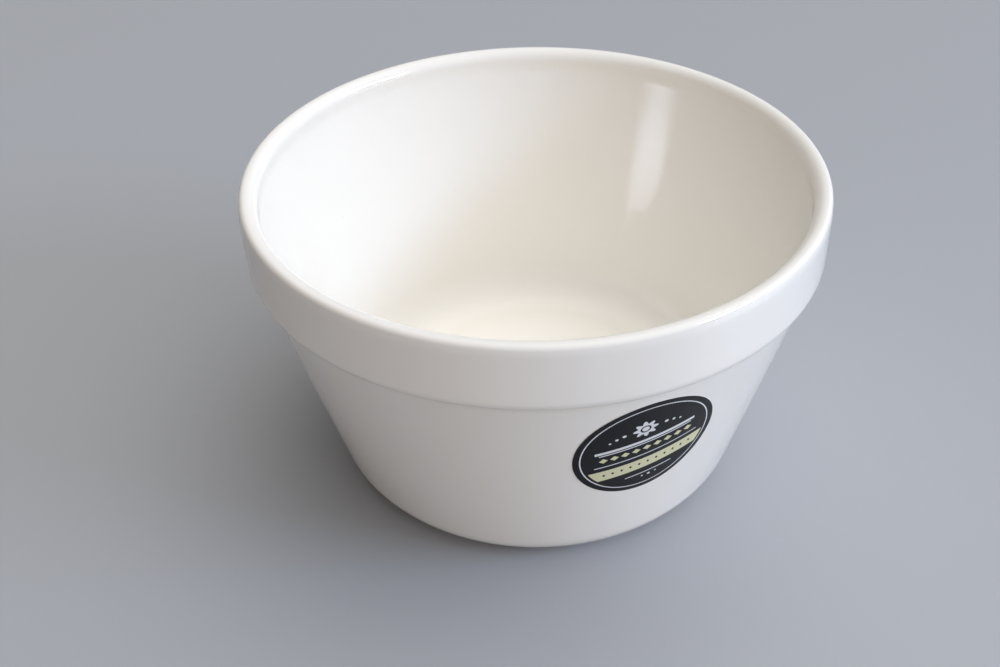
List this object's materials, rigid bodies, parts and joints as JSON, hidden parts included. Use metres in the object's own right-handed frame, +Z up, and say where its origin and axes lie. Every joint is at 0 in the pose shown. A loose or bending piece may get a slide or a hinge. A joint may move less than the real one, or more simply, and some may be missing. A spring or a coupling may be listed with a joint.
{
  "type": "pudding basin",
  "caption": "Round glazed pottery mould for steaming puddings, with a thick collar, a tapering wall, a foot ring and a round paper label on its front.",
  "frame": {"origin": "centre of the foot ring, on the surface that the basin stands on", "axes": "+Z up the axis that the pot was turned on; the label is on the front right, 22 degrees from -Y towards +X"},
  "size_m": [0.1608, 0.1608, 0.092],
  "materials": {
    "white_glaze": "gloss",
    "printed_paper": "satin"
  },
  "bodies": {
    "root": {"basin": "white_glaze", "label": "printed_paper"}
  },
  "joints": []
}
